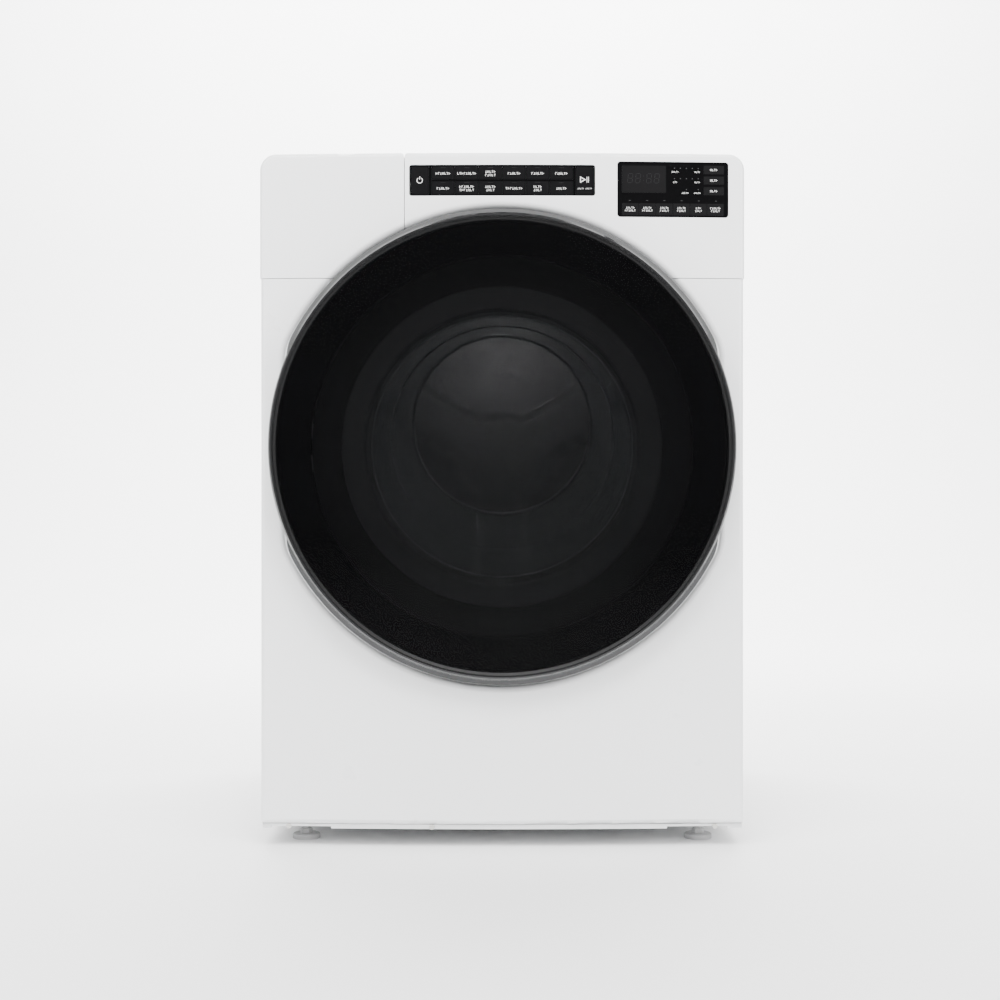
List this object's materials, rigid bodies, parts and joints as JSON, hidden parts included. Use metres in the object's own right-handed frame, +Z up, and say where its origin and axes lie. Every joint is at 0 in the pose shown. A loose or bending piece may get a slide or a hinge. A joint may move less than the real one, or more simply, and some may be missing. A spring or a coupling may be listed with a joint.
{
  "type": "front load washing machine",
  "caption": "White front load washing machine with a round tinted door, a touch key strip, a dispenser drawer, and its drum, tub and drive inside.",
  "frame": {"origin": "centre of the machine's box on the floor", "axes": "+Z up, the door faces -Y, +X to the viewer's right"},
  "size_m": [0.686, 0.7869, 0.981],
  "materials": {
    "white_enamel": "gloss",
    "white_plastic": "satin",
    "galvanised_steel": "satin",
    "black_gloss": "gloss",
    "key_grey": "satin",
    "tinted_lens": "gloss",
    "bowl_glass": "gloss",
    "grey_plastic": "matte",
    "light_plastic": "satin",
    "tub_plastic": "matte",
    "rubber_grey": "matte",
    "rubber_black": "matte",
    "rubber_pale": "matte",
    "stainless": "satin",
    "chromed_steel": "polished",
    "cast_aluminium": "satin",
    "concrete": "matte",
    "board_green": "satin",
    "valve_plastic": "satin",
    "zinc_steel": "satin"
  },
  "bodies": {
    "cabinet": {"cabinet_wrapper": "white_enamel", "rear_access_panel": "galvanised_steel", "top_panel": "white_enamel", "front_panel": "white_enamel", "base_frame": "galvanised_steel", "console_fascia": "white_plastic", "cycle_bezel": "black_gloss", "display_panel": "black_gloss", "control_board": "board_green", "dispenser_housing": "light_plastic", "inlet_valve": "valve_plastic", "drain_pump": "light_plastic", "drain_spigot": "grey_plastic", "power_gland": "rubber_black", "door_gasket": "rubber_grey", "door_lock": "grey_plastic", "hinge_bracket": "chromed_steel", "suspension_springs": "zinc_steel", "damper_cylinders": "grey_plastic", "cabinet_screws": "zinc_steel"},
    "tub": {"tub_front": "tub_plastic", "tub_rear": "tub_plastic", "front_counterweight": "concrete", "top_counterweight": "concrete", "motor_housing": "cast_aluminium", "drive_belt": "rubber_black", "damper_rods": "zinc_steel", "drum_bearings": "chromed_steel"},
    "drum": {"drum_shell": "stainless", "drum_lifters": "light_plastic", "drum_spider": "cast_aluminium", "drum_pulley": "cast_aluminium"},
    "motor": {"motor_pulley": "zinc_steel"},
    "door": {"door_rim": "black_gloss", "door_frame": "grey_plastic", "door_lens": "tinted_lens", "door_bowl": "bowl_glass", "door_hinge_arm": "chromed_steel", "door_strike": "chromed_steel"},
    "drawer": {"drawer_front": "white_plastic", "drawer_tray": "light_plastic", "drawer_insert": "light_plastic"},
    "power_key": {"power_key": "key_grey"},
    "start_key": {"start_key": "key_grey"},
    "cycle_key_1": {"cycle_key_1": "key_grey"},
    "cycle_key_2": {"cycle_key_2": "key_grey"},
    "cycle_key_3": {"cycle_key_3": "key_grey"},
    "cycle_key_4": {"cycle_key_4": "key_grey"},
    "cycle_key_5": {"cycle_key_5": "key_grey"},
    "cycle_key_6": {"cycle_key_6": "key_grey"},
    "cycle_key_7": {"cycle_key_7": "key_grey"},
    "cycle_key_8": {"cycle_key_8": "key_grey"},
    "cycle_key_9": {"cycle_key_9": "key_grey"},
    "cycle_key_10": {"cycle_key_10": "key_grey"},
    "cycle_key_11": {"cycle_key_11": "key_grey"},
    "cycle_key_12": {"cycle_key_12": "key_grey"},
    "foot_front_left": {"foot_front_left": "rubber_pale"},
    "foot_front_right": {"foot_front_right": "rubber_pale"},
    "foot_rear_left": {"foot_rear_left": "rubber_pale"},
    "foot_rear_right": {"foot_rear_right": "rubber_pale"}
  },
  "joints": [
    {"name": "door_hinge", "type": "hinge", "parent": "cabinet", "child": "door", "pos_m": [-0.32, -0.356, 0.566], "axis": [0, 0, -1], "range_deg": [0, 120]},
    {"name": "drawer_slide", "type": "slide", "parent": "cabinet", "child": "drawer", "axis": [0, -1, 0], "range_m": [0, 0.25]},
    {"name": "tub_suspension", "type": "slide", "parent": "cabinet", "child": "tub", "axis": [0, 0, 1], "range_m": [-0.01, 0.008], "stiffness_N_per_m": 15000, "springref_m": 0.03924, "deforming": ["suspension_springs", "door_gasket"]},
    {"name": "drum_spin", "type": "hinge", "parent": "tub", "child": "drum", "pos_m": [0, 0, 0.566], "axis": [0, 1, 0], "continuous": true},
    {"name": "motor_spin", "type": "hinge", "parent": "tub", "child": "motor", "pos_m": [0.06, 0, 0.178], "axis": [0, 1, 0], "continuous": true},
    {"name": "power_key_press", "type": "slide", "parent": "cabinet", "child": "power_key", "axis": [0, 1, 0], "range_m": [0, 0.0008], "stiffness_N_per_m": 3000},
    {"name": "start_key_press", "type": "slide", "parent": "cabinet", "child": "start_key", "axis": [0, 1, 0], "range_m": [0, 0.0008], "stiffness_N_per_m": 3000},
    {"name": "cycle_key_1_press", "type": "slide", "parent": "cabinet", "child": "cycle_key_1", "axis": [0, 1, 0], "range_m": [0, 0.0008], "stiffness_N_per_m": 3000},
    {"name": "cycle_key_2_press", "type": "slide", "parent": "cabinet", "child": "cycle_key_2", "axis": [0, 1, 0], "range_m": [0, 0.0008], "stiffness_N_per_m": 3000},
    {"name": "cycle_key_3_press", "type": "slide", "parent": "cabinet", "child": "cycle_key_3", "axis": [0, 1, 0], "range_m": [0, 0.0008], "stiffness_N_per_m": 3000},
    {"name": "cycle_key_4_press", "type": "slide", "parent": "cabinet", "child": "cycle_key_4", "axis": [0, 1, 0], "range_m": [0, 0.0008], "stiffness_N_per_m": 3000},
    {"name": "cycle_key_5_press", "type": "slide", "parent": "cabinet", "child": "cycle_key_5", "axis": [0, 1, 0], "range_m": [0, 0.0008], "stiffness_N_per_m": 3000},
    {"name": "cycle_key_6_press", "type": "slide", "parent": "cabinet", "child": "cycle_key_6", "axis": [0, 1, 0], "range_m": [0, 0.0008], "stiffness_N_per_m": 3000},
    {"name": "cycle_key_7_press", "type": "slide", "parent": "cabinet", "child": "cycle_key_7", "axis": [0, 1, 0], "range_m": [0, 0.0008], "stiffness_N_per_m": 3000},
    {"name": "cycle_key_8_press", "type": "slide", "parent": "cabinet", "child": "cycle_key_8", "axis": [0, 1, 0], "range_m": [0, 0.0008], "stiffness_N_per_m": 3000},
    {"name": "cycle_key_9_press", "type": "slide", "parent": "cabinet", "child": "cycle_key_9", "axis": [0, 1, 0], "range_m": [0, 0.0008], "stiffness_N_per_m": 3000},
    {"name": "cycle_key_10_press", "type": "slide", "parent": "cabinet", "child": "cycle_key_10", "axis": [0, 1, 0], "range_m": [0, 0.0008], "stiffness_N_per_m": 3000},
    {"name": "cycle_key_11_press", "type": "slide", "parent": "cabinet", "child": "cycle_key_11", "axis": [0, 1, 0], "range_m": [0, 0.0008], "stiffness_N_per_m": 3000},
    {"name": "cycle_key_12_press", "type": "slide", "parent": "cabinet", "child": "cycle_key_12", "axis": [0, 1, 0], "range_m": [0, 0.0008], "stiffness_N_per_m": 3000},
    {"name": "foot_front_left_screw", "type": "slide", "parent": "cabinet", "child": "foot_front_left", "axis": [0, 0, -1], "range_m": [0, 0.019]},
    {"name": "foot_front_right_screw", "type": "slide", "parent": "cabinet", "child": "foot_front_right", "axis": [0, 0, -1], "range_m": [0, 0.019]},
    {"name": "foot_rear_left_screw", "type": "slide", "parent": "cabinet", "child": "foot_rear_left", "axis": [0, 0, -1], "range_m": [0, 0.019]},
    {"name": "foot_rear_right_screw", "type": "slide", "parent": "cabinet", "child": "foot_rear_right", "axis": [0, 0, -1], "range_m": [0, 0.019]}
  ],
  "couplings": [
    {"joint": "motor_spin", "follows": "drum_spin", "ratio": 12.5}
  ]
}
